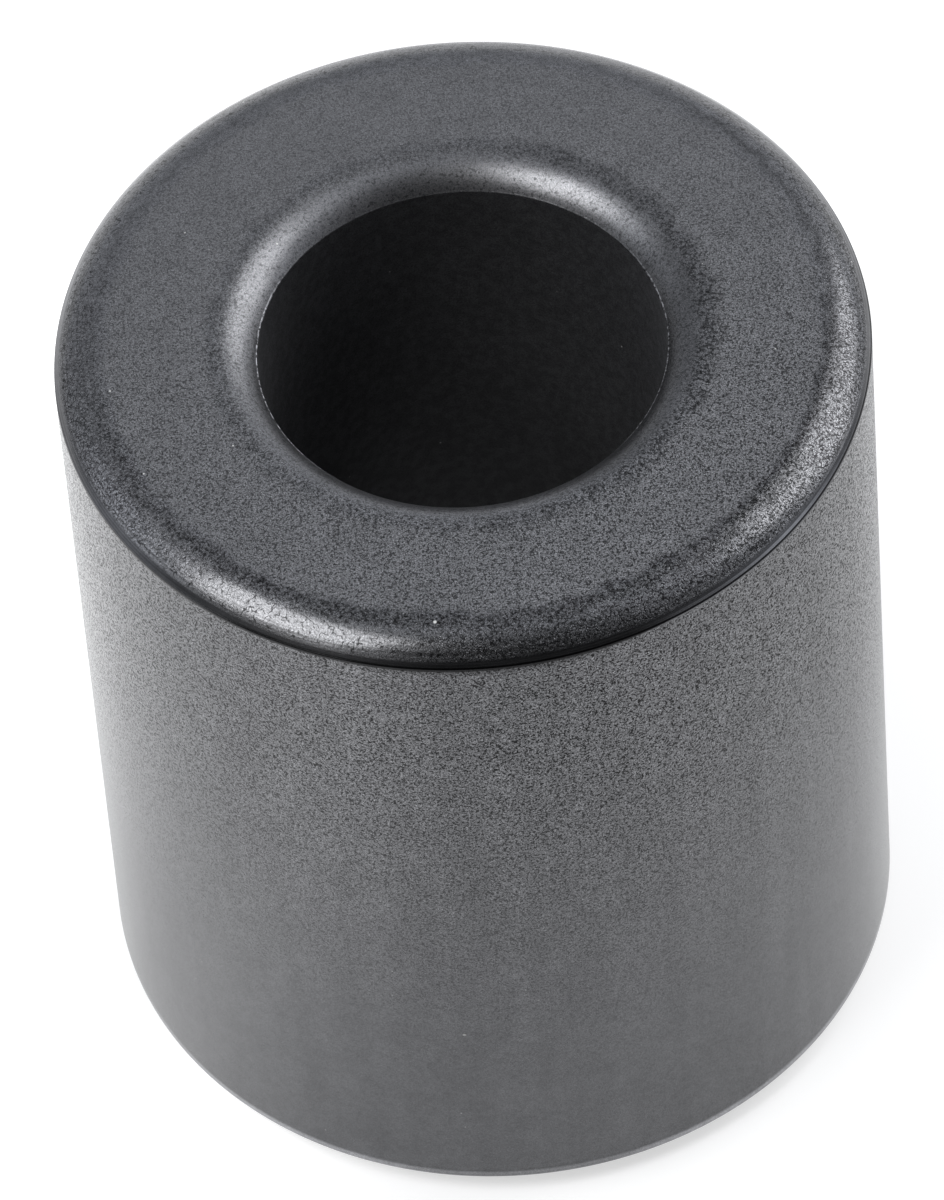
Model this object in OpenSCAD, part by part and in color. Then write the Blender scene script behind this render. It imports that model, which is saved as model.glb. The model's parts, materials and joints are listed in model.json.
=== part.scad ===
// Ferrite ring core: a thick sleeve of pressed and sintered ferrite that slides over a cable.
// The whole core is one revolved section. It stands on its lower end face, with the axis on +Z
// and the origin at the centre of that face. Lengths are in millimetres.

/* [Sleeve] */
// Outside diameter of the sleeve
outer_d = 25.9; // [20:0.1:40]
// Diameter of the cable bore
bore_d = 13; // [5:0.1:19]
// Length of the sleeve along its axis
sleeve_len = 28.4; // [8:0.1:60]

/* [Outer rims] */
// How far each rim's arc reaches from the outer wall onto the end face
rim_reach = 1.7; // [0.9:0.05:3]
// How far each rim's arc drops from the end face down the outer wall
rim_drop = 0.8; // [0.3:0.05:1.4]

/* [Bore mouths] */
// How far each mouth's arc reaches from the bore onto the end face
mouth_reach = 1.45; // [0.9:0.05:3]
// How far each mouth's arc drops from the end face into the bore
mouth_drop = 0.75; // [0.3:0.05:1.3]

/* [Die edges] */
// Radius of the small round where an arc meets its wall, left by tumbling after pressing
die_edge_r = 0.1; // [0.05:0.01:0.4]

/* [Hidden] */
$fn = 180;

// How far a small round stands proud of its arc, so that the two cross at a crisp line
crisp_lift = die_edge_r / 50;

outer_r = outer_d / 2;
bore_r = bore_d / 2;

// Radius of the arc that leaves the end face smoothly and meets the wall at the given reach and drop
function arc_r(reach, drop) = (reach * reach + drop * drop) / (2 * drop);

// Distance between the centres of an arc and of its small round
function centre_gap(reach, drop) = arc_r(reach, drop) - die_edge_r + crisp_lift;

// Depth below the end face of the small round's centre, where the round touches the wall
function round_depth(reach, drop) =
    arc_r(reach, drop) - sqrt(pow(centre_gap(reach, drop), 2) - pow(reach - die_edge_r, 2));

// Slope of the line from the arc's centre through the small round's centre
function meet_angle(reach, drop) = acos((reach - die_edge_r) / centre_gap(reach, drop));

// What is cut from a square corner: first along the arc, then along the small round at the wall.
// The wall is at x = 0 and the end face at y = 0, with the material on the left and below.
module corner_waste(reach, drop) {
    big_r = arc_r(reach, drop);
    difference() {
        translate([-reach, -drop]) square([reach + drop, 2 * drop]);
        translate([-reach, -big_r]) circle(big_r);
    }
    translate([-die_edge_r, -round_depth(reach, drop)]) difference() {
        polygon([[0, 0], [reach, 0], [reach, reach * tan(meet_angle(reach, drop))]]);
        circle(die_edge_r);
    }
}

// The two corners of the upper end face, on the outer wall and on the bore
module end_waste() {
    translate([outer_r, 0]) corner_waste(rim_reach, rim_drop);
    translate([bore_r, 0]) mirror([1, 0]) corner_waste(mouth_reach, mouth_drop);
}

// Half of the sleeve's section: radius along x, height along y, both ends alike
module sleeve_section() {
    difference() {
        translate([bore_r, 0]) square([outer_r - bore_r, sleeve_len]);
        translate([0, sleeve_len]) end_waste();
        mirror([0, 1]) end_waste();
    }
}

module ring_core() {
    color("dimgray") rotate_extrude() sleeve_section();
}

ring_core();
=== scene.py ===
# %% [markdown]
# # A ferrite ring core
# A ring core is a thick sleeve of black ferrite that is slid over a cable to soak up radio noise.
# Ferrite powder is pressed in a die and sintered, so the core is one hard, brittle piece of ceramic.
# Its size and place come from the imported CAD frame. This script models its surface more finely,
# gives it the look of sintered ferrite, and sets up the floor, the light and the camera.

# %% Load the frame
import json
from math import asin, acos, atan2, cos, pi, radians, sin, tan

import bmesh
import bpy
from mathutils import Euler, Matrix, Vector


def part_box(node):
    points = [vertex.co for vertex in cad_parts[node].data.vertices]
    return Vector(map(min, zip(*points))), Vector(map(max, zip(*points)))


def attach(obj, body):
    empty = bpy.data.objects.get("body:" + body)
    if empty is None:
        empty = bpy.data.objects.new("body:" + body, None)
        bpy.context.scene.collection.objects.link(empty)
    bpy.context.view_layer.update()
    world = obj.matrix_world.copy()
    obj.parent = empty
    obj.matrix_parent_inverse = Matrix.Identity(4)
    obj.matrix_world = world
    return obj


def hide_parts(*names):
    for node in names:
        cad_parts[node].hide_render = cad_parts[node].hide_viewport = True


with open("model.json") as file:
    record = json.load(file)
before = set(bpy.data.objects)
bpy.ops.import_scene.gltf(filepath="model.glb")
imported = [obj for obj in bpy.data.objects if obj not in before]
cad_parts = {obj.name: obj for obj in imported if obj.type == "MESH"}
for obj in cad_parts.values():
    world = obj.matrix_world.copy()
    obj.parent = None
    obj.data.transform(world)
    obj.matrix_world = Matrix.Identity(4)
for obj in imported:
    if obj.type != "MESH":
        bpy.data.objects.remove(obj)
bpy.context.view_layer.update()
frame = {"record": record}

# %% [markdown]
# ## Driving sizes
# The outside and the length are read from the CAD node's box, and the bore from the record's mount,
# so a new pack with other sizes carries through. The form of the edges isn't in the frame,
# so it is repeated here: each edge is a wide, shallow arc from the end face and ends in a small
# round on the wall, as the punch and the die of the press leave it. The small round stands a little
# proud of its arc, so that the two cross at a crisp line.

# %% Driving sizes
MM = 0.001
low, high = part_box("ring_core")
outer_radius = high.x
core_length = high.z - low.z
mounts = {mount["name"]: mount for mount in frame["record"]["mounts"]}
bore_radius = mounts["cable_bore"]["dims"]["r_mm"] * MM

rim_reach, rim_drop = 1.7 * MM, 0.8 * MM
mouth_reach, mouth_drop = 1.45 * MM, 0.75 * MM
edge_round = 0.1 * MM
CRISP_SHARE = 1 / 50
crisp_lift = edge_round * CRISP_SHARE
print(f"outer radius {outer_radius:.5f}, bore radius {bore_radius:.5f}, length {core_length:.5f}")

# %% [markdown]
# ## Camera
# The photograph looks down into the bore from about fifty degrees, from close to a third of a metre,
# through a long lens. Place, turn and focal length were fitted to the outlines of the two ends
# and the bore. A focal length in pixels becomes a lens in millimetres through the sensor's long side.

# %% Camera
PHOTO_HEIGHT = 1200
SENSOR_LONG_SIDE = 36
CLIP_NEAR, CLIP_FAR = 0.02, 10
focal_pixels = 10939.47
camera_place = Vector((0, -222.424, 292.479)) * MM
camera_yaw, camera_pitch, camera_roll = radians(-0.0877), radians(51.2934), radians(4.6155)

camera_data = bpy.data.cameras.new("camera")
camera_data.sensor_width = SENSOR_LONG_SIDE
camera_data.lens = focal_pixels / PHOTO_HEIGHT * SENSOR_LONG_SIDE
camera_data.clip_start = CLIP_NEAR
camera_data.clip_end = CLIP_FAR
camera = bpy.data.objects.new("camera", camera_data)
aim = Euler((pi / 2 - camera_pitch, 0, -camera_yaw)).to_matrix()
roll = Matrix.Rotation(-camera_roll, 3, "Z")
camera.matrix_world = Matrix.Translation(camera_place) @ (aim @ roll).to_4x4()
bpy.context.collection.objects.link(camera)
bpy.context.scene.camera = camera
print(f"lens {camera_data.lens:.2f} mm")

# %% [markdown]
# ## The section of one end
# The core is a turned shape, so its section is drawn first and then spun. One way is to type a list
# of points along the outline. It is easier to read, and exact, to let operators draw it: a vertex is
# extruded along each straight run and spun about the centre of each arc. The origin is half way up,
# so that the other end is only a mirror of this one.

# %% Helpers that draw a section
def draw_run(bm, vert, *moves):
    """Extrudes a vertex through the given moves and returns the last new vertex."""
    for move in moves:
        vert = bmesh.ops.extrude_vert_indiv(bm, verts=[vert])["verts"][0]
        bmesh.ops.translate(bm, verts=[vert], vec=move)
    return vert


def draw_arc(bm, vert, centre, angle, steps):
    """Spins a vertex about a centre in the section plane and returns the last new vertex."""
    spun = bmesh.ops.spin(bm, geom=[vert], cent=centre, axis=(0, 1, 0), angle=angle, steps=steps)
    return spun["geom_last"][0]


def edge_form(reach, drop):
    """Returns the arc's radius and sweep, and the small round's depth and first angle, from upright."""
    arc = (reach ** 2 + drop ** 2) / (2 * drop)
    gap = arc - edge_round + crisp_lift
    lean = asin((reach - edge_round) / gap)
    sweep = lean - acos((arc ** 2 + gap ** 2 - edge_round ** 2) / (2 * arc * gap))
    depth = arc - gap * cos(lean)
    first = atan2(arc * sin(sweep) - gap * sin(lean), arc * cos(sweep) - gap * cos(lean))
    return arc, sweep, depth, first


for edge_name, reach, drop in (("rim", rim_reach, rim_drop), ("mouth", mouth_reach, mouth_drop)):
    arc, sweep, depth, first = edge_form(reach, drop)
    print(f"{edge_name}: arc {arc / MM:.3f} mm through {sweep:.3f} rad, wall starts {depth / MM:.3f} mm down")

# %% [markdown]
# Each edge starts on the end face and turns outwards to the wall or inwards to the bore, so one
# function draws both, with a side of 1 or -1. A short run beside each arc holds the shading of the
# flat: without it the smooth normals of the arc would bleed across the whole face.

# %% Draw the section
ARC_STEPS = 18
ROUND_STEPS = 14
WALL_STEPS = 8
HOLD = 0.05 * MM
half_length = core_length / 2
face_outer = outer_radius - rim_reach
face_inner = bore_radius + mouth_reach
face_middle = (face_outer + face_inner) / 2

core_mesh = bmesh.new()


def draw_edge(start, side, wall_radius, reach, drop):
    """Draws one edge from the middle of the end face to half way down its wall."""
    arc, sweep, depth, first = edge_form(reach, drop)
    across = abs(wall_radius - side * reach - start.co.x)
    vert = draw_run(core_mesh, start, (side * (across - HOLD), 0, 0), (side * HOLD, 0, 0))
    vert = draw_arc(core_mesh, vert, vert.co + Vector((0, 0, -arc)), side * sweep, ARC_STEPS)
    round_centre = Vector((wall_radius - side * edge_round, 0, half_length - depth))
    vert = draw_arc(core_mesh, vert, round_centre, side * (pi / 2 - first), ROUND_STEPS)
    fall = (half_length - depth - HOLD) / WALL_STEPS
    draw_run(core_mesh, vert, (0, 0, -HOLD), *[(0, 0, -fall)] * WALL_STEPS)


middle = core_mesh.verts.new((face_middle, 0, half_length))
draw_edge(middle, 1, outer_radius, rim_reach, rim_drop)
draw_edge(middle, -1, bore_radius, mouth_reach, mouth_drop)
print(f"half section: {len(core_mesh.verts)} vertices, {len(core_mesh.edges)} edges")

# %% [markdown]
# ## The core
# The half section is mirrored to the lower end and spun once round the axis. The full spin merges
# its last ring with its first, so there is no seam. The line where an arc meets its small round is
# crisp on the real core. It is the only hollow fold in the shape, so the sign of the angle between
# two faces finds it, and those edges stay sharp while everything else is shaded smooth.

# %% Mirror, spin and finish the core
TURN_STEPS = 400
MERGE = 0.001 * MM
CRISP_ANGLE = radians(3)


def spin_round(bm, steps):
    """Spins a section once round the upright axis, closes it and shades it smooth."""
    section = bm.verts[:] + bm.edges[:]
    bmesh.ops.spin(bm, geom=section, cent=(0, 0, 0), axis=(0, 0, 1), angle=2 * pi, steps=steps,
                   use_merge=True)
    bmesh.ops.remove_doubles(bm, verts=bm.verts[:], dist=MERGE)
    bmesh.ops.recalc_face_normals(bm, faces=bm.faces[:])
    for face in bm.faces:
        face.smooth = True


half_section = core_mesh.verts[:] + core_mesh.edges[:]
bmesh.ops.mirror(core_mesh, geom=half_section, matrix=Matrix.Identity(4), merge_dist=MERGE, axis="Z")
spin_round(core_mesh, TURN_STEPS)
crisp_edges = [edge for edge in core_mesh.edges if edge.calc_face_angle_signed() < -CRISP_ANGLE]
for edge in crisp_edges:
    edge.smooth = False
bmesh.ops.translate(core_mesh, verts=core_mesh.verts[:], vec=(0, 0, low.z + half_length))

core_data = bpy.data.meshes.new("ferrite_core")
core_mesh.to_mesh(core_data)
core_mesh.free()
core = bpy.data.objects.new("ferrite_core", core_data)
bpy.context.collection.objects.link(core)
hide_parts("ring_core")
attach(core, "root")
print(f"core: {len(core_data.polygons)} faces, {len(crisp_edges)} crisp edges")

# %% [markdown]
# ## Sintered ferrite
# Ferrite is a metal oxide that swallows nearly all the light that enters it. What the eye sees is
# the reflection at its surface, about a tenth of the light, as on a dull dark metal. So the shader is
# mostly metallic, with a dark grey base colour for that reflection. The small rest is a dull black.
# A node tree can be built by hand in the editor. In a script, a few helpers keep it readable.

# %% Helpers that build a node tree
def place(tree, kind, **settings):
    """Adds a node to a tree, sets its properties and returns it."""
    node = tree.nodes.new(kind)
    for name, value in settings.items():
        setattr(node, name, value)
    return node


def feed(tree, socket, value):
    """Links a socket from another socket, or writes a plain value into it."""
    if isinstance(value, bpy.types.NodeSocket):
        tree.links.new(value, socket)
    else:
        socket.default_value = value


def calculate(tree, operation, first, second):
    """Adds a Math node with two inputs and returns its output."""
    node = place(tree, "ShaderNodeMath", operation=operation)
    feed(tree, node.inputs[0], first)
    feed(tree, node.inputs[1], second)
    return node.outputs[0]


def measure_vector(tree, operation, first, second=None):
    """Adds a Vector Math node that gives a number, such as a length, and returns its output."""
    node = place(tree, "ShaderNodeVectorMath", operation=operation)
    feed(tree, node.inputs[0], first)
    if second is not None:
        feed(tree, node.inputs[1], second)
    return node.outputs["Value"]


ferrite = bpy.data.materials.new("sintered_ferrite")
ferrite.use_nodes = True
ferrite_tree = ferrite.node_tree
shader = ferrite_tree.nodes["Principled BSDF"]
core_data.materials.append(ferrite)
print("material:", ferrite.name)

# %% [markdown]
# A mask is a number from 0 to 1 that says how much of a finish there is at a point. Masks are shaped
# with smooth steps, because a hard limit would show as a line, and joined by multiplying them or by
# taking the greatest.

# %% Helpers that shape masks
def ramp(tree, value, start, end, low_value=0.0, high_value=1.0):
    """Moves a value smoothly from one level to another between start and end."""
    node = place(tree, "ShaderNodeMapRange", interpolation_type="SMOOTHSTEP")
    limits = {"From Min": start, "From Max": end, "To Min": low_value, "To Max": high_value}
    feed(tree, node.inputs["Value"], value)
    for name, limit in limits.items():
        feed(tree, node.inputs[name], limit)
    return node.outputs["Result"]


def product(tree, first, *factors):
    """Multiplies any number of values."""
    for factor in factors:
        first = calculate(tree, "MULTIPLY", first, factor)
    return first


def greatest(tree, first, *others):
    """Returns the greatest of any number of values."""
    for other in others:
        first = calculate(tree, "MAXIMUM", first, other)
    return first


def invert(tree, mask):
    """Turns a mask round."""
    return calculate(tree, "SUBTRACT", 1.0, mask)


def scaled(tree, mask, share):
    """Returns a factor that is 1 where the mask is 0 and 1 + share where it is 1."""
    return calculate(tree, "ADD", calculate(tree, "MULTIPLY", mask, share), 1.0)


print("helpers for masks are ready")

# %% [markdown]
# ### Measures of the core
# The punch and the die leave some places smooth and others open. Most of them are rings, so they
# follow from two numbers: the distance from the axis and the depth below the nearer end. They are
# worked out in millimetres from Object coordinates, so every pattern stays fixed to the core.

# %% Radius and depth
coordinates = place(ferrite_tree, "ShaderNodeTexCoord")
in_mm = place(ferrite_tree, "ShaderNodeMapping")
feed(ferrite_tree, in_mm.inputs["Vector"], coordinates.outputs["Object"])
in_mm.inputs["Scale"].default_value = (1 / MM, 1 / MM, 1 / MM)
spot = in_mm.outputs["Vector"]
parts = place(ferrite_tree, "ShaderNodeSeparateXYZ")
feed(ferrite_tree, parts.inputs["Vector"], spot)
flat_spot = place(ferrite_tree, "ShaderNodeCombineXYZ")
feed(ferrite_tree, flat_spot.inputs["X"], parts.outputs["X"])
feed(ferrite_tree, flat_spot.inputs["Y"], parts.outputs["Y"])

measures = {axis.lower(): parts.outputs[axis] for axis in "XYZ"}
measures["beside"] = calculate(ferrite_tree, "ABSOLUTE", measures["x"], 0.0)
measures["radius"] = measure_vector(ferrite_tree, "LENGTH", flat_spot.outputs["Vector"])
measures["from_top"] = calculate(ferrite_tree, "SUBTRACT", core_length / MM, measures["z"])
measures["depth"] = calculate(ferrite_tree, "MINIMUM", measures["from_top"], measures["z"])
print("measures:", ", ".join(measures))

# %% [markdown]
# The rest of the detail comes from noises of different sizes. A noise lies mostly near 0.5, so its
# middle is spread over -1 to 1 where it has to swing both ways. A slow one, the wander, is added to
# the distance from the axis, because the borders of the rings are ragged on the real core.

# %% Noise patterns
# Cells in a millimetre and levels of detail
PATTERNS = {
    "wander": (1.6, 1.0),
    "mottle": (0.7, 1.0),
    "blotch": (3.2, 0.0),
    "crack": (3.8, 1.0),
    "coarse": (9.0, 2.0),
    "pit": (11.0, 1.0),
    "gate": (12.0, 0.0),
    "grain": (27.0, 1.0),
    "dull": (70.0, 0.0),
}
NOISE_MIDDLE = 0.5
WIDE_SWING, SOFT_SWING, STREAK_SWING = 0.25, 0.2, 0.15
WANDER_REACH = 0.12


def noise(tree, vector, per_mm, detail):
    """Adds a noise pattern with a given number of cells in a millimetre and returns its value."""
    node = place(tree, "ShaderNodeTexNoise")
    feed(tree, node.inputs["Vector"], vector)
    feed(tree, node.inputs["Scale"], per_mm)
    feed(tree, node.inputs["Detail"], detail)
    return node.outputs["Fac"]


def swing(pattern, reach):
    """Spreads a noise over -1 to 1, within a reach on each side of its middle."""
    return ramp(ferrite_tree, measures[pattern], NOISE_MIDDLE - reach, NOISE_MIDDLE + reach, -1.0, 1.0)


for name, (per_mm, detail) in PATTERNS.items():
    measures[name] = noise(ferrite_tree, spot, per_mm, detail)
wander = product(ferrite_tree, swing("wander", SOFT_SWING), WANDER_REACH)
measures["ragged"] = calculate(ferrite_tree, "ADD", measures["radius"], wander)
print(f"{len(PATTERNS)} noises, ragged borders up to {WANDER_REACH} mm")

# %% [markdown]
# ### Zones and rings
# Masks are written as tables, because a table is easier to read and to change than a long row of
# nodes. Each mask is a list of masks that were made before it, by name, and of steps: a measure, where
# the step starts and where it ends, and its two levels if they aren't 0 and 1.

# %% Zones
masks = {}
middle_mm = face_middle / MM
rim_mm = face_outer / MM
mouth_mm = face_inner / MM
SMOOTH_FOOT, SMOOTH_MOUTH = 0.9, 0.42


def step(measure, start, end, low_value=0.0, high_value=1.0):
    """Follows one measure of the core smoothly from a start to an end."""
    return ramp(ferrite_tree, measures[measure], start, end, low_value, high_value)


def mark_out(table):
    """Makes each mask of a table, as the product of its earlier masks and its steps."""
    for name, terms in table.items():
        factors = [masks[term] if isinstance(term, str) else step(*term) for term in terms]
        masks[name] = product(ferrite_tree, *factors)


mark_out({
    "outside": [("radius", middle_mm - 0.1, middle_mm + 0.1)],
    "inside": [("radius", middle_mm + 0.1, middle_mm - 0.1)],
    "wall": ["outside", ("depth", 0.78, 0.86)],
    "bore": ["inside", ("depth", 0.74, 0.82)],
    "rim": [("ragged", rim_mm - 0.15, rim_mm + 0.3)],
    "mouth": [("ragged", mouth_mm + 0.35, mouth_mm - 0.15)],
    "mouth_band": [("radius", mouth_mm - 0.15, mouth_mm - 0.75)],
})
masks["off_wall"] = invert(ferrite_tree, masks["wall"])
masks["off_bore"] = invert(ferrite_tree, masks["bore"])
mark_out({
    "rim_arc": ["rim", "off_wall"],
    "rim_side": ["outside", "off_wall"],
    "rim_foot": ["rim_side", ("depth", 0.52, 0.66)],
    "mouth_arc": ["mouth_band", "off_bore"],
})
smooth_foot = product(ferrite_tree, masks["rim_foot"], SMOOTH_FOOT)
smooth_mouth = product(ferrite_tree, masks["mouth_band"], SMOOTH_MOUTH)
masks["skin"] = invert(ferrite_tree, greatest(ferrite_tree, smooth_foot, smooth_mouth))
print(f"flat from {mouth_mm:.2f} to {rim_mm:.2f} mm")

# %% [markdown]
# Where the flat turns into an edge, the real core has a ring of coarser, darker pits. The ring at the
# rim is wider at the front and starts nearer the axis at the right, and on the left the pits reach up
# over the crown of the rim.

# %% Rings of coarse pits
RING_START = ("y", -11.0, -5.0, rim_mm - 0.1, rim_mm + 0.2)
mark_out({"ring_shift": [("x", 3.0, 9.0, 0.0, 0.22), ("y", 2.0, -2.0)]})
ring_radius = calculate(ferrite_tree, "ADD", measures["ragged"], masks["ring_shift"])
measures["past_ring_start"] = calculate(ferrite_tree, "SUBTRACT", ring_radius, step(*RING_START))
mark_out({
    "rim_ring": [("past_ring_start", 0.0, 0.35), ("ragged", rim_mm + 0.85, rim_mm + 0.5)],
    "mouth_ring": [("ragged", mouth_mm + 0.5, mouth_mm), ("ragged", mouth_mm - 0.6, mouth_mm - 0.3)],
    "rim_wear": ["rim_ring", ("y", -6.0, 5.0, 1.0, 0.35)],
    "mouth_wear": ["mouth_ring", ("x", -2.0, 5.0, 0.6, 1.0), ("y", -2.0, 7.0, 1.0, 0.7)],
    "left_crown": ["rim_side", ("depth", 0.06, 0.14), ("depth", 0.52, 0.4),
                   ("x", -6.5, -9.5, 0.0, 0.65), ("y", 5.0, 0.0)],
})
masks["pitted_ring"] = greatest(ferrite_tree, masks["rim_wear"], masks["mouth_wear"], masks["left_crown"])
print("masks so far:", len(masks))

# %% [markdown]
# The photograph is sharp only at the front of the upper rim, and the speckle fades towards the base
# and the back. Depth of field would move with the camera and blur other views, so it stays off.
# Instead one mask makes the pits and grains weaker there. The hidden lower end keeps them in full.

# %% Fading of the speckle
LOWER_END = ("z", 0.9, 0.6)
mark_out({"in_focus": [("y", -6.0, 11.0, 1.0, 0.5), ("from_top", 4.0, 24.0, 1.0, 0.2),
                       ("x", -11.0, 6.0, 0.82, 1.0)]})
masks["sharp"] = greatest(ferrite_tree, masks["in_focus"], step(*LOWER_END))
masks["out_of_focus"] = invert(ferrite_tree, masks["sharp"])
print("masks so far:", len(masks))

# %% [markdown]
# ### Pits and grains
# Close up, the surface is a field of short winding pits and light grains a few hundredths of a
# millimetre across, where powder grains fell out or stand proud. A pit is a thin line along the
# middle level of a noise, broken into pieces by a second noise. On the crown of the rim longer cracks
# join them, and at the front left, where the highlight lies, the crown is calmer. Pits, cracks and
# grains change the base colour. Pits and grains are in the bump too, and the cracks aren't.

# %% Pits, grains and mottling
PIT_WIDTH, CRACK_WIDTH, LINE_CORE = 0.11, 0.04, 0.4
CALM_GRAINS, CALM_PITS = -0.7, -0.55


def winding_lines(pattern, width):
    """Draws thin lines along the middle level of a noise."""
    level = calculate(ferrite_tree, "SUBTRACT", measures[pattern], NOISE_MIDDLE)
    return ramp(ferrite_tree, calculate(ferrite_tree, "ABSOLUTE", level, 0.0), width, LINE_CORE * width)


mark_out({
    "rim_crown": ["rim_side", ("depth", 0.08, 0.18)],
    "calm_crown": ["rim_crown", ("y", -6.5, -9.0), ("x", -0.5, -3.0)],
})
masks["pit_lines"] = winding_lines("pit", PIT_WIDTH)
masks["crack_lines"] = winding_lines("crack", CRACK_WIDTH)
masks["fewer_grains"] = scaled(ferrite_tree, masks["calm_crown"], CALM_GRAINS)
masks["fewer_pits"] = scaled(ferrite_tree, masks["calm_crown"], CALM_PITS)
masks["grain_swing"] = swing("grain", WIDE_SWING)
masks["mottle"] = swing("mottle", SOFT_SWING)
masks["blotches"] = swing("blotch", SOFT_SWING)
mark_out({
    "open_pits": ["pit_lines", ("gate", 0.40, 0.55), "skin", "sharp", "fewer_pits"],
    "cracks": ["crack_lines", ("coarse", 0.43, 0.52), "rim_crown", "skin"],
    "ring_pits": ["pitted_ring", ("coarse", 0.50, 0.42)],
    "mouth_pits": ["mouth_arc", ("coarse", 0.42, 0.36)],
    "grains": ["grain_swing", "skin", "fewer_grains", "sharp"],
    "flecks": [("grain", 0.62, 0.76), "skin", "fewer_grains", "sharp"],
})
masks["pits"] = greatest(ferrite_tree, masks["open_pits"], masks["cracks"])
print(f"pits {PATTERNS['pit'][0]} and grains {PATTERNS['grain'][0]} in a millimetre")

# %% [markdown]
# ### Painted highlights and painted shade at the edges
# The thin edges get painted highlights in the colour: the edge of the bore in pieces at its sides,
# which is also rougher there, and the rim at the right. The lower edge all round gets a painted
# reflection of the white table. Right under the upper rim the photograph shows a dark line, wide and
# soft at the left and thin at the right, and it is painted shade. It is a fraction of a millimetre
# wide, so it is colour here and not shape.

# %% Painted edge highlights and the painted shade line
LEFT_SIDE, RIGHT_FRONT = (-12.6, -11.2), (3.5, 6.0)
LINE_START = ("x", -9.0, -6.8, 0.775, 0.73)
LINE_END, END_AT_SIDE, END_AT_RIGHT = ("x", -11.0, -7.0, 0.97, 0.89), 1.07, 0.80
LINE_FADE, FADE_AT_SIDE = ("x", -10.5, -7.0, -0.1, -0.03), -0.25

line_end = step("x", *LEFT_SIDE, END_AT_SIDE, step(*LINE_END))
line_end = step("x", *RIGHT_FRONT, line_end, END_AT_RIGHT)
line_fade = step("x", *LEFT_SIDE, FADE_AT_SIDE, step(*LINE_FADE))
measures["past_line_start"] = calculate(ferrite_tree, "SUBTRACT", measures["depth"], step(*LINE_START))
measures["past_line_end"] = calculate(ferrite_tree, "SUBTRACT", measures["depth"], line_end)
mark_out({
    # The first mask is painted shade right under the upper rim.
    "painted_shade_line": ["outside", ("past_line_start", 0.0, 0.015), ("past_line_end", 0.0, line_fade),
                  ("x", *LEFT_SIDE, 0.85, 0.95), ("from_top", 2.0, 1.8)],
    # The next three masks are painted highlights on the edges of the bore and the rim, and a painted
    # reflection of the table on the lower edge.
    "rough_edge_highlight": ["inside", ("depth", 0.68, 0.71), ("depth", 0.79, 0.75), ("coarse", 0.36, 0.60),
                  ("beside", 3.0, 5.5), ("y", 4.0, 1.5)],
    "rim_edge_highlight": ["outside", ("depth", 0.66, 0.69), ("depth", 0.74, 0.725), ("x", 4.0, 6.5), ("x", 12.0, 9.5)],
    "foot_reflection": ["outside", ("z", 1.12, 0.95), ("z", 0.64, 0.72)],
})
print("masks so far:", len(masks))

# %% [markdown]
# The die leaves fine streaks along the foot of the rim and faint upright marks on the wall. A streak
# runs round the core, so its noise is read at a point on a small circle, with the depth stretched.
# The marks on the wall are a noise that is stretched along the axis.

# %% Streaks and die marks
STREAK_CELLS, STREAK_RUN, STREAK_DETAIL = 30.0, 2.5, 1.0
DIE_CELLS, DIE_STRETCH, DIE_DETAIL = 1.3, (1.0, 1.0, 0.06), 0.0

round_spot = place(ferrite_tree, "ShaderNodeVectorMath", operation="NORMALIZE")
feed(ferrite_tree, round_spot.inputs[0], flat_spot.outputs["Vector"])
round_parts = place(ferrite_tree, "ShaderNodeSeparateXYZ")
feed(ferrite_tree, round_parts.inputs["Vector"], round_spot.outputs["Vector"])
streak_spot = place(ferrite_tree, "ShaderNodeCombineXYZ")
for axis in "XY":
    feed(ferrite_tree, streak_spot.inputs[axis], product(ferrite_tree, round_parts.outputs[axis], STREAK_RUN))
feed(ferrite_tree, streak_spot.inputs["Z"], product(ferrite_tree, measures["depth"], STREAK_CELLS))
measures["streak"] = noise(ferrite_tree, streak_spot.outputs["Vector"], 1.0, STREAK_DETAIL)

die_spot = place(ferrite_tree, "ShaderNodeMapping")
feed(ferrite_tree, die_spot.inputs["Vector"], spot)
die_spot.inputs["Scale"].default_value = DIE_STRETCH
measures["die"] = noise(ferrite_tree, die_spot.outputs["Vector"], DIE_CELLS, DIE_DETAIL)

masks["streak_swing"] = swing("streak", STREAK_SWING)
masks["die_swing"] = swing("die", SOFT_SWING)
mark_out({
    "streaks": ["streak_swing", "rim_arc", ("depth", 0.25, 0.45)],
    "die_marks": ["die_swing", "wall"],
})
print(f"streaks {STREAK_CELLS} and die marks {DIE_CELLS} in a millimetre")

# %% [markdown]
# ### Dust and chips
# A little pale dust lies on the core, less of it on the upright wall. A speck of dust is the middle
# of a Voronoi cell, and only some cells have one, by a draw from the cell's colour. Two small bright
# chips sit where the photograph shows them.

# %% Dust and chips
DUST_CELLS, DUST_SIZE, DUST_CORE = 1.1, 0.045, 0.5
WALL_DUST = -0.7
CHIP_PLACES = ((-1.518, -11.531, 28.367), (-1.69, -12.839, 8.62))
CHIP_SIZE, CHIP_CORE = 0.07, 0.03

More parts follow.
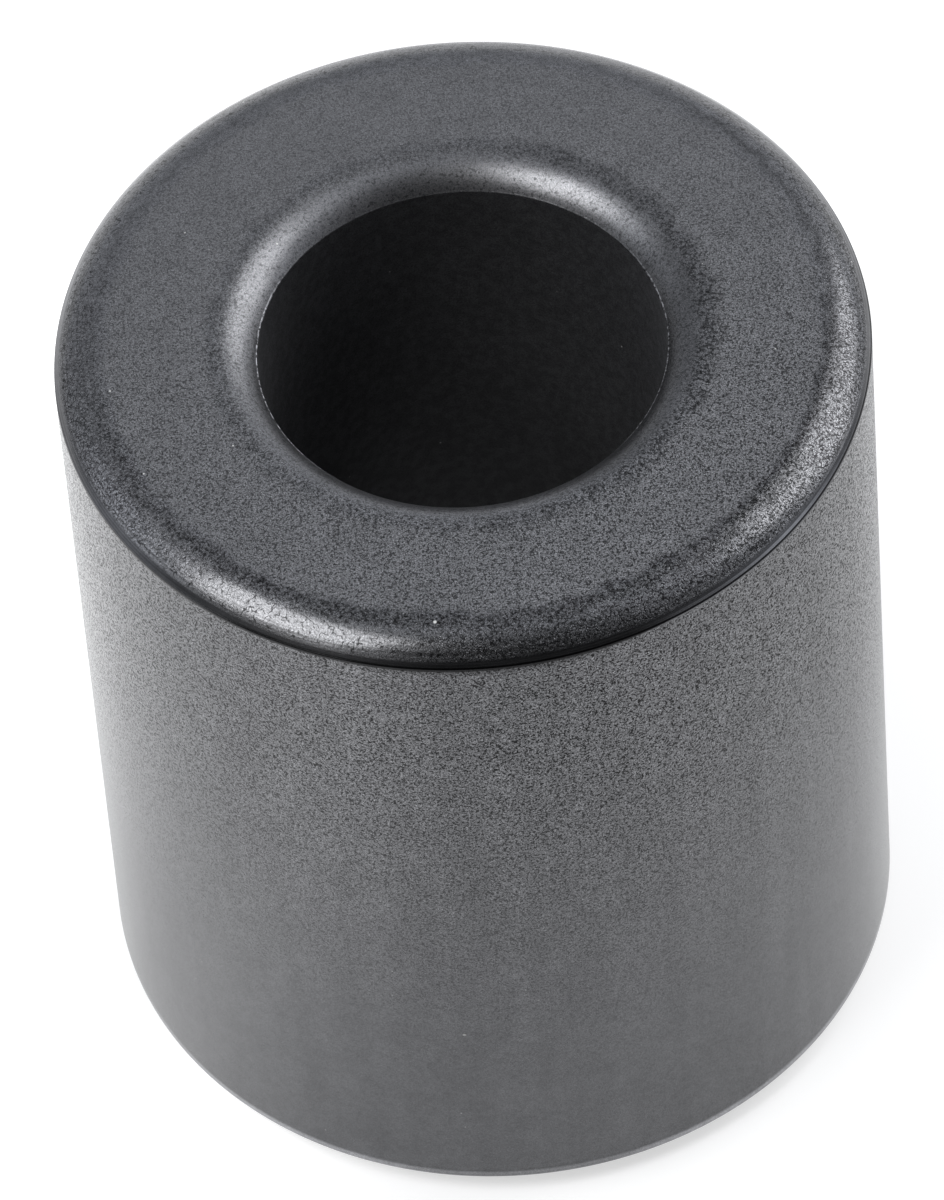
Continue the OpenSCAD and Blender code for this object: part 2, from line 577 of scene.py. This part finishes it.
dust_cells = place(ferrite_tree, "ShaderNodeTexVoronoi")
feed(ferrite_tree, dust_cells.inputs["Vector"], spot)
feed(ferrite_tree, dust_cells.inputs["Scale"], DUST_CELLS)
dust_draw = place(ferrite_tree, "ShaderNodeSeparateColor")
feed(ferrite_tree, dust_draw.inputs["Color"], dust_cells.outputs["Color"])
measures["from_speck"] = dust_cells.outputs["Distance"]
measures["dust_draw"] = dust_draw.outputs["Red"]
masks["less_on_wall"] = scaled(ferrite_tree, masks["wall"], WALL_DUST)
mark_out({
    "specks": ["less_on_wall", ("from_speck", DUST_SIZE, DUST_CORE * DUST_SIZE), ("dust_draw", 0.3, 0.8)],
})
chips = []
for chip_place in CHIP_PLACES:
    from_chip = measure_vector(ferrite_tree, "DISTANCE", spot, chip_place)
    chips.append(ramp(ferrite_tree, from_chip, CHIP_SIZE, CHIP_CORE))
masks["dust"] = greatest(ferrite_tree, masks["specks"], *chips)
print(f"dust: {DUST_CELLS} cells in a millimetre, {len(chips)} chips")

# %% [markdown]
# ### Painted shade and light by place
# Two softboxes and a simple room don't give every grey of the photograph. Moving more lamps about
# would cost time in each render, so a few places on the rim, on the mouth and under the rim get
# painted shade in the base colour, and the back of the mouth gets painted light. They are fixed to
# the core and stay there in every view.

# %% Painted shade and light by place
# These masks mark painted shade, and the last two mark where the back of the mouth gets painted light.
mark_out({
    "under_rim": ["wall", ("depth", 1.25, 0.85), ("x", 5.5, 2.5), ("x", -6.0, -2.0)],
    "front_rim": ["rim_arc", ("depth", 0.1, 0.3), ("y", -11.0, -12.3), ("x", -4.0, -1.0)],
    "left_foot": ["rim_arc", ("depth", 0.40, 0.52), ("depth", 0.64, 0.56), ("x", -3.0, -5.0),
                  ("x", -9.0, -7.0)],
    "side_foot": ["rim_foot", ("y", 5.0, 0.0), ("beside", 3.0, 7.0), ("y", -9.0, -7.0, 0.3, 1.0)],
    "right_ring": ["rim_ring", ("x", 6.0, 9.5)],
    "right_mouth": ["mouth_arc", ("x", 1.5, 4.5), ("y", 4.5, 2.5)],
    "right_mouth_ring": ["mouth_ring", ("x", 1.0, 4.0), ("y", -5.0, -1.0)],
    "back_left": [("x", -1.5, -3.5), ("y", -2.5, 4.5)],
    "back": [("y", 4.0, 6.0, 0.0, 0.45)],
})
masks["back_side"] = greatest(ferrite_tree, masks["back_left"], masks["back"])
mark_out({"back_mouth": ["mouth_arc", "back_side"]})
print("masks so far:", len(masks))

# %% [markdown]
# ### Base colour
# Each mask makes the grey of the ferrite darker or lighter by its own share, and all the shares are
# multiplied. Pits and grains are stronger on the wall, and flecks on the dark front of the rim. Dust
# lies on top: it is paler, and it isn't metallic.

# %% Base colour
FERRITE_GREY, DUST_GREY = (0.159, 0.160, 0.167, 1.0), (0.55, 0.55, 0.54, 1.0)
FERRITE_METAL = 0.9
DIE_SHARE = ("x", 4.0, 8.0, 0.03, 0.06)
# The share by which a mask darkens or lightens the grey
SHARES = {
    # The darkening of the rim's ring is partly the ferrite's own coarser pitting and partly painted shade.
    "ring_pits": -0.6, "mouth_pits": -0.45, "rim_ring": -0.16, "wall": -0.2, "calm_crown": -0.12,
    "mottle": 0.04, "streaks": 0.25, "out_of_focus": -0.2,
    # Painted shade under the upper rim, painted highlights on the edges of the bore and the rim, and a
    # painted reflection on the lower edge
    "painted_shade_line": -0.85, "rough_edge_highlight": 3.0, "rim_edge_highlight": 1.3, "foot_reflection": 1.9,
    # Painted shade at places on the rim, under it and on the mouth, and painted light at the back of the
    # mouth
    "under_rim": -0.42, "front_rim": -0.4, "left_foot": -0.4, "side_foot": -0.3, "right_ring": -0.22,
    "right_mouth": -0.42, "right_mouth_ring": -0.18, "back_mouth": 0.35,
}
# The zone that a share depends on, and the share outside and inside it
SHARES_BY_ZONE = {
    "pits": ("wall", -0.82, -0.97),
    "grains": ("wall", 0.6, 0.75),
    "blotches": ("bore", 0.04, 0.11),
    "flecks": ("front_rim", 0.6, 2.6),
}


def between(mask, off_value, on_value):
    """Moves from one value to another as a mask goes from 0 to 1."""
    return ramp(ferrite_tree, masks[mask], 0.0, 1.0, off_value, on_value)


shares = dict(SHARES, die_marks=step(*DIE_SHARE))
shares.update({name: between(*by_zone) for name, by_zone in SHARES_BY_ZONE.items()})
factors = [scaled(ferrite_tree, masks[name], share) for name, share in shares.items()]
tint = place(ferrite_tree, "ShaderNodeMix", data_type="RGBA", blend_type="MULTIPLY")
tint.inputs["Factor"].default_value = 1.0
tint.inputs["A"].default_value = FERRITE_GREY
ferrite_tree.links.new(product(ferrite_tree, *factors), tint.inputs["B"])
dusty = place(ferrite_tree, "ShaderNodeMix", data_type="RGBA")
ferrite_tree.links.new(masks["dust"], dusty.inputs["Factor"])
ferrite_tree.links.new(tint.outputs["Result"], dusty.inputs["A"])
dusty.inputs["B"].default_value = DUST_GREY
ferrite_tree.links.new(dusty.outputs["Result"], shader.inputs["Base Color"])
ferrite_tree.links.new(between("dust", FERRITE_METAL, 0.0), shader.inputs["Metallic"])
print("base colour:", FERRITE_GREY[:3], "with", len(factors), "shades")

# %% [markdown]
# ### Gloss and relief
# The edges carry a clear soft highlight and the flat a hazy one, so roughness falls on the edges.
# Grains too fine to see scatter part of the light: they are a very fine noise between the gloss of
# the place and a dull finish. The bump tilts each grain and sinks each pit.

# %% Roughness and bump
FLAT_ROUGHNESS, DULL_ROUGHNESS = 0.50, 0.7
ZONE_ROUGHNESS = {"rim": 0.18, "mouth": 0.31, "wall": 0.22, "bore": 0.5, "rough_edge_highlight": 0.6}
WALL_DULL, WALL_PIT_DULL = -0.75, 0.7
RELIEF = 0.002 * MM
GRAIN_HEIGHT = 0.35

gloss = FLAT_ROUGHNESS
for zone, roughness in ZONE_ROUGHNESS.items():
    gloss = between(zone, gloss, roughness)
masks["clear_wall"] = scaled(ferrite_tree, masks["wall"], WALL_DULL)
mark_out({"fine_grains": [("dull", 0.53, 0.64), "skin", "clear_wall"]})
wall_pits = product(ferrite_tree, masks["pits"], masks["wall"], WALL_PIT_DULL)
masks["dull"] = greatest(ferrite_tree, masks["fine_grains"], wall_pits, masks["dust"])
ferrite_tree.links.new(between("dull", gloss, DULL_ROUGHNESS), shader.inputs["Roughness"])

grain_height = product(ferrite_tree, masks["grains"], GRAIN_HEIGHT)
height = calculate(ferrite_tree, "SUBTRACT", grain_height, masks["open_pits"])
bump = place(ferrite_tree, "ShaderNodeBump")
bump.inputs["Strength"].default_value = 1.0
bump.inputs["Distance"].default_value = RELIEF
ferrite_tree.links.new(height, bump.inputs["Height"])
ferrite_tree.links.new(bump.outputs["Normal"], shader.inputs["Normal"])
print(f"roughness {ZONE_ROUGHNESS['rim']} to {DULL_ROUGHNESS}, relief {RELIEF:.6f} m")

# %% [markdown]
# ## Floor
# The core stands on a white table that curves up at its far edge, so that no horizon shows in a low
# view. The table is drawn as a section and spun, like the core.

# %% Floor
FLOOR_RADIUS, COVE_RADIUS = 1.6, 0.25
FLOOR_STEPS, COVE_STEPS = 96, 12
floor_mesh = bmesh.new()
centre = floor_mesh.verts.new((0, 0, low.z))
floor_edge = draw_run(floor_mesh, centre, (FLOOR_RADIUS, 0, 0))
draw_arc(floor_mesh, floor_edge, floor_edge.co + Vector((0, 0, COVE_RADIUS)), -pi / 2, COVE_STEPS)
spin_round(floor_mesh, FLOOR_STEPS)
floor_data = bpy.data.meshes.new("floor")
floor_mesh.to_mesh(floor_data)
floor_mesh.free()
floor = bpy.data.objects.new("floor", floor_data)
bpy.context.collection.objects.link(floor)
print("floor:", len(floor_data.polygons), "faces")

# %% [markdown]
# The table is lifted to white for the camera and in reflections through Light Path, and its matt part
# still takes the core's shadow. The wall of the core mirrors the table round it, so the lift differs
# by side, as the greys of the wall do. So the lift is painted light and painted shadow on the table:
# bright at the left, but less so close beside the core, weaker in front and at the right, and nearly
# none under the core. Far from the core the table is white.

# %% White table
FLOOR_WHITE = (0.5, 0.5, 0.5, 1.0)
LIFT_LEFT, LIFT_FRONT, LIFT_RIGHT, LIFT_UNDER, LIFT_FAR = 1.05, 0.6, 0.7, 0.12, 1.0
BESIDE_SHARE = -0.3
# Where the lift changes, in outer radii of the core
FROM_LEFT, TO_RIGHT, TO_FAR, FROM_UNDER = (-1.4, -0.15), (0.4, 1.4), (6.0, 30.0), (0.85, 0.95)
BEHIND_FRONT, LEFT_HALF, CLOSE_BY = (-0.7, -0.2), (0.2, -0.2), (2.0, 1.0)

white = bpy.data.materials.new("white_table")
white.use_nodes = True
floor_tree = white.node_tree
floor_tree.nodes.remove(floor_tree.nodes["Principled BSDF"])
where = place(floor_tree, "ShaderNodeTexCoord")
sides = place(floor_tree, "ShaderNodeSeparateXYZ")
feed(floor_tree, sides.inputs["Vector"], where.outputs["Object"])
from_core = measure_vector(floor_tree, "LENGTH", where.outputs["Object"])


def floor_step(value, start, end, low_value=0.0, high_value=1.0):
    """Follows a length on the floor from a start to an end, both in outer radii of the core."""
    return ramp(floor_tree, value, start * outer_radius, end * outer_radius, low_value, high_value)


# Painted light and shadow on the table: brightest at the left, dimmer in front and at the right, darkest
# beside and under the core.
lift = floor_step(sides.outputs["X"], *FROM_LEFT, LIFT_LEFT, LIFT_FRONT)
lift = floor_step(sides.outputs["X"], *TO_RIGHT, lift, LIFT_RIGHT)
beside = product(floor_tree, floor_step(sides.outputs["Y"], *BEHIND_FRONT),
                 floor_step(sides.outputs["X"], *LEFT_HALF), floor_step(from_core, *CLOSE_BY))
lift = product(floor_tree, lift, scaled(floor_tree, beside, BESIDE_SHARE))
lift = floor_step(from_core, *TO_FAR, lift, LIFT_FAR)
lift = floor_step(from_core, *FROM_UNDER, LIFT_UNDER, lift)

path = place(floor_tree, "ShaderNodeLightPath")
rays = [path.outputs[ray] for ray in ("Is Camera Ray", "Is Glossy Ray", "Is Transmission Ray")]
glow = place(floor_tree, "ShaderNodeEmission")
feed(floor_tree, glow.inputs["Strength"], product(floor_tree, greatest(floor_tree, *rays), lift))
matt = place(floor_tree, "ShaderNodeBsdfDiffuse")
matt.inputs["Color"].default_value = FLOOR_WHITE
both = place(floor_tree, "ShaderNodeAddShader")
feed(floor_tree, both.inputs[0], matt.outputs["BSDF"])
feed(floor_tree, both.inputs[1], glow.outputs["Emission"])
feed(floor_tree, floor_tree.nodes["Material Output"].inputs["Surface"], both.outputs["Shader"])
floor_data.materials.append(white)
print("material:", white.name)

# %% [markdown]
# ## Light
# The highlights on the rim and on the bore's mouth show two softboxes: a bright one above on the left
# and a wider, weaker one at the right towards the back. A lamp's power is worked out from how bright
# its face should look, because an area lamp spreads its power over its area and half the sky.

# %% Softboxes
def hang_softbox(name, from_upright, bearing, distance, wide_angle, high_angle, tilt, brightness):
    """Hangs an area lamp that faces the core, with its place and size in degrees as seen from the core."""
    data = bpy.data.lights.new(name, "AREA")
    data.shape = "RECTANGLE"
    data.size = 2 * distance * tan(radians(wide_angle) / 2)
    data.size_y = 2 * distance * tan(radians(high_angle) / 2)
    data.energy = brightness * pi * data.size * data.size_y
    lamp = bpy.data.objects.new(name, data)
    towards = Euler((0, radians(from_upright), radians(bearing))).to_matrix() @ Vector((0, 0, 1))
    turn = towards.to_track_quat("Z", "Y").to_matrix().to_4x4() @ Matrix.Rotation(radians(tilt), 4, "Z")
    lamp.matrix_world = Matrix.Translation(towards * distance + Vector((0, 0, core_length))) @ turn
    bpy.context.collection.objects.link(lamp)
    print(f"{name}: {data.size:.2f} by {data.size_y:.2f} m, {data.energy:.1f} W")


hang_softbox("left_softbox", from_upright=35.8, bearing=205.8, distance=0.32, wide_angle=33,
             high_angle=32, tilt=8, brightness=6.6)
hang_softbox("right_softbox", from_upright=50.5, bearing=29.5, distance=0.9, wide_angle=39,
             high_angle=41.4, tilt=9.6, brightness=3.1)

# %% [markdown]
# ## Room
# Round the lamps the room is bright at the back and dark where the camera stands, with a soft window
# on the left. More lamps could do the same, but each one makes the render slower. A colour ramp along
# one direction is enough here, and its few stops can be read. To the camera itself the room is plain
# white.

# %% Room
# How far back a direction points, from 0 to 1, and how bright the room is there
ROOM_STOPS = {0.05: 0.0, 0.2: 0.0, 0.35: 0.15, 0.5: 0.7, 0.7: 0.5, 0.82: 0.7, 0.91: 0.8, 1.0: 0.85}
ROOM_TINT = (0.96, 1.0, 1.08, 1.0)
BACK_OF_ROOM = (0.12, 0.99, 0.0)
WINDOW_PLACE = (-0.791, 0.168, 0.588)
WINDOW_EDGE, WINDOW_CORE, WINDOW_LEVEL = 0.92, 0.985, 0.75
WHITE_ROOM = 1.05
HALF = 0.5

world = bpy.data.worlds.new("room")
world.use_nodes = True
room_tree = world.node_tree
bpy.context.scene.world = world
sky = room_tree.nodes["Background"]
sky.inputs["Color"].default_value = ROOM_TINT
direction = place(room_tree, "ShaderNodeTexCoord").outputs["Generated"]
backwards = measure_vector(room_tree, "DOT_PRODUCT", direction, BACK_OF_ROOM)
grades = place(room_tree, "ShaderNodeValToRGB")
far_back = calculate(room_tree, "ADD", product(room_tree, backwards, HALF), HALF)
feed(room_tree, grades.inputs["Fac"], far_back)
stops = grades.color_ramp.elements
while len(stops) < len(ROOM_STOPS):
    stops.new(HALF)
for stop, (position, level) in zip(stops, ROOM_STOPS.items()):
    stop.position = position
    stop.color = (level, level, level, 1.0)
towards_window = measure_vector(room_tree, "DOT_PRODUCT", direction, WINDOW_PLACE)
window = ramp(room_tree, towards_window, WINDOW_EDGE, WINDOW_CORE, 0.0, WINDOW_LEVEL)
room_level = calculate(room_tree, "ADD", grades.outputs["Color"], window)
room_path = place(room_tree, "ShaderNodeLightPath")
white_room = product(room_tree, room_path.outputs["Is Camera Ray"], WHITE_ROOM)
feed(room_tree, sky.inputs["Strength"], greatest(room_tree, room_level, white_room))
bpy.context.scene.view_settings.view_transform = "Standard"
print(f"room grades: {len(ROOM_STOPS)}")
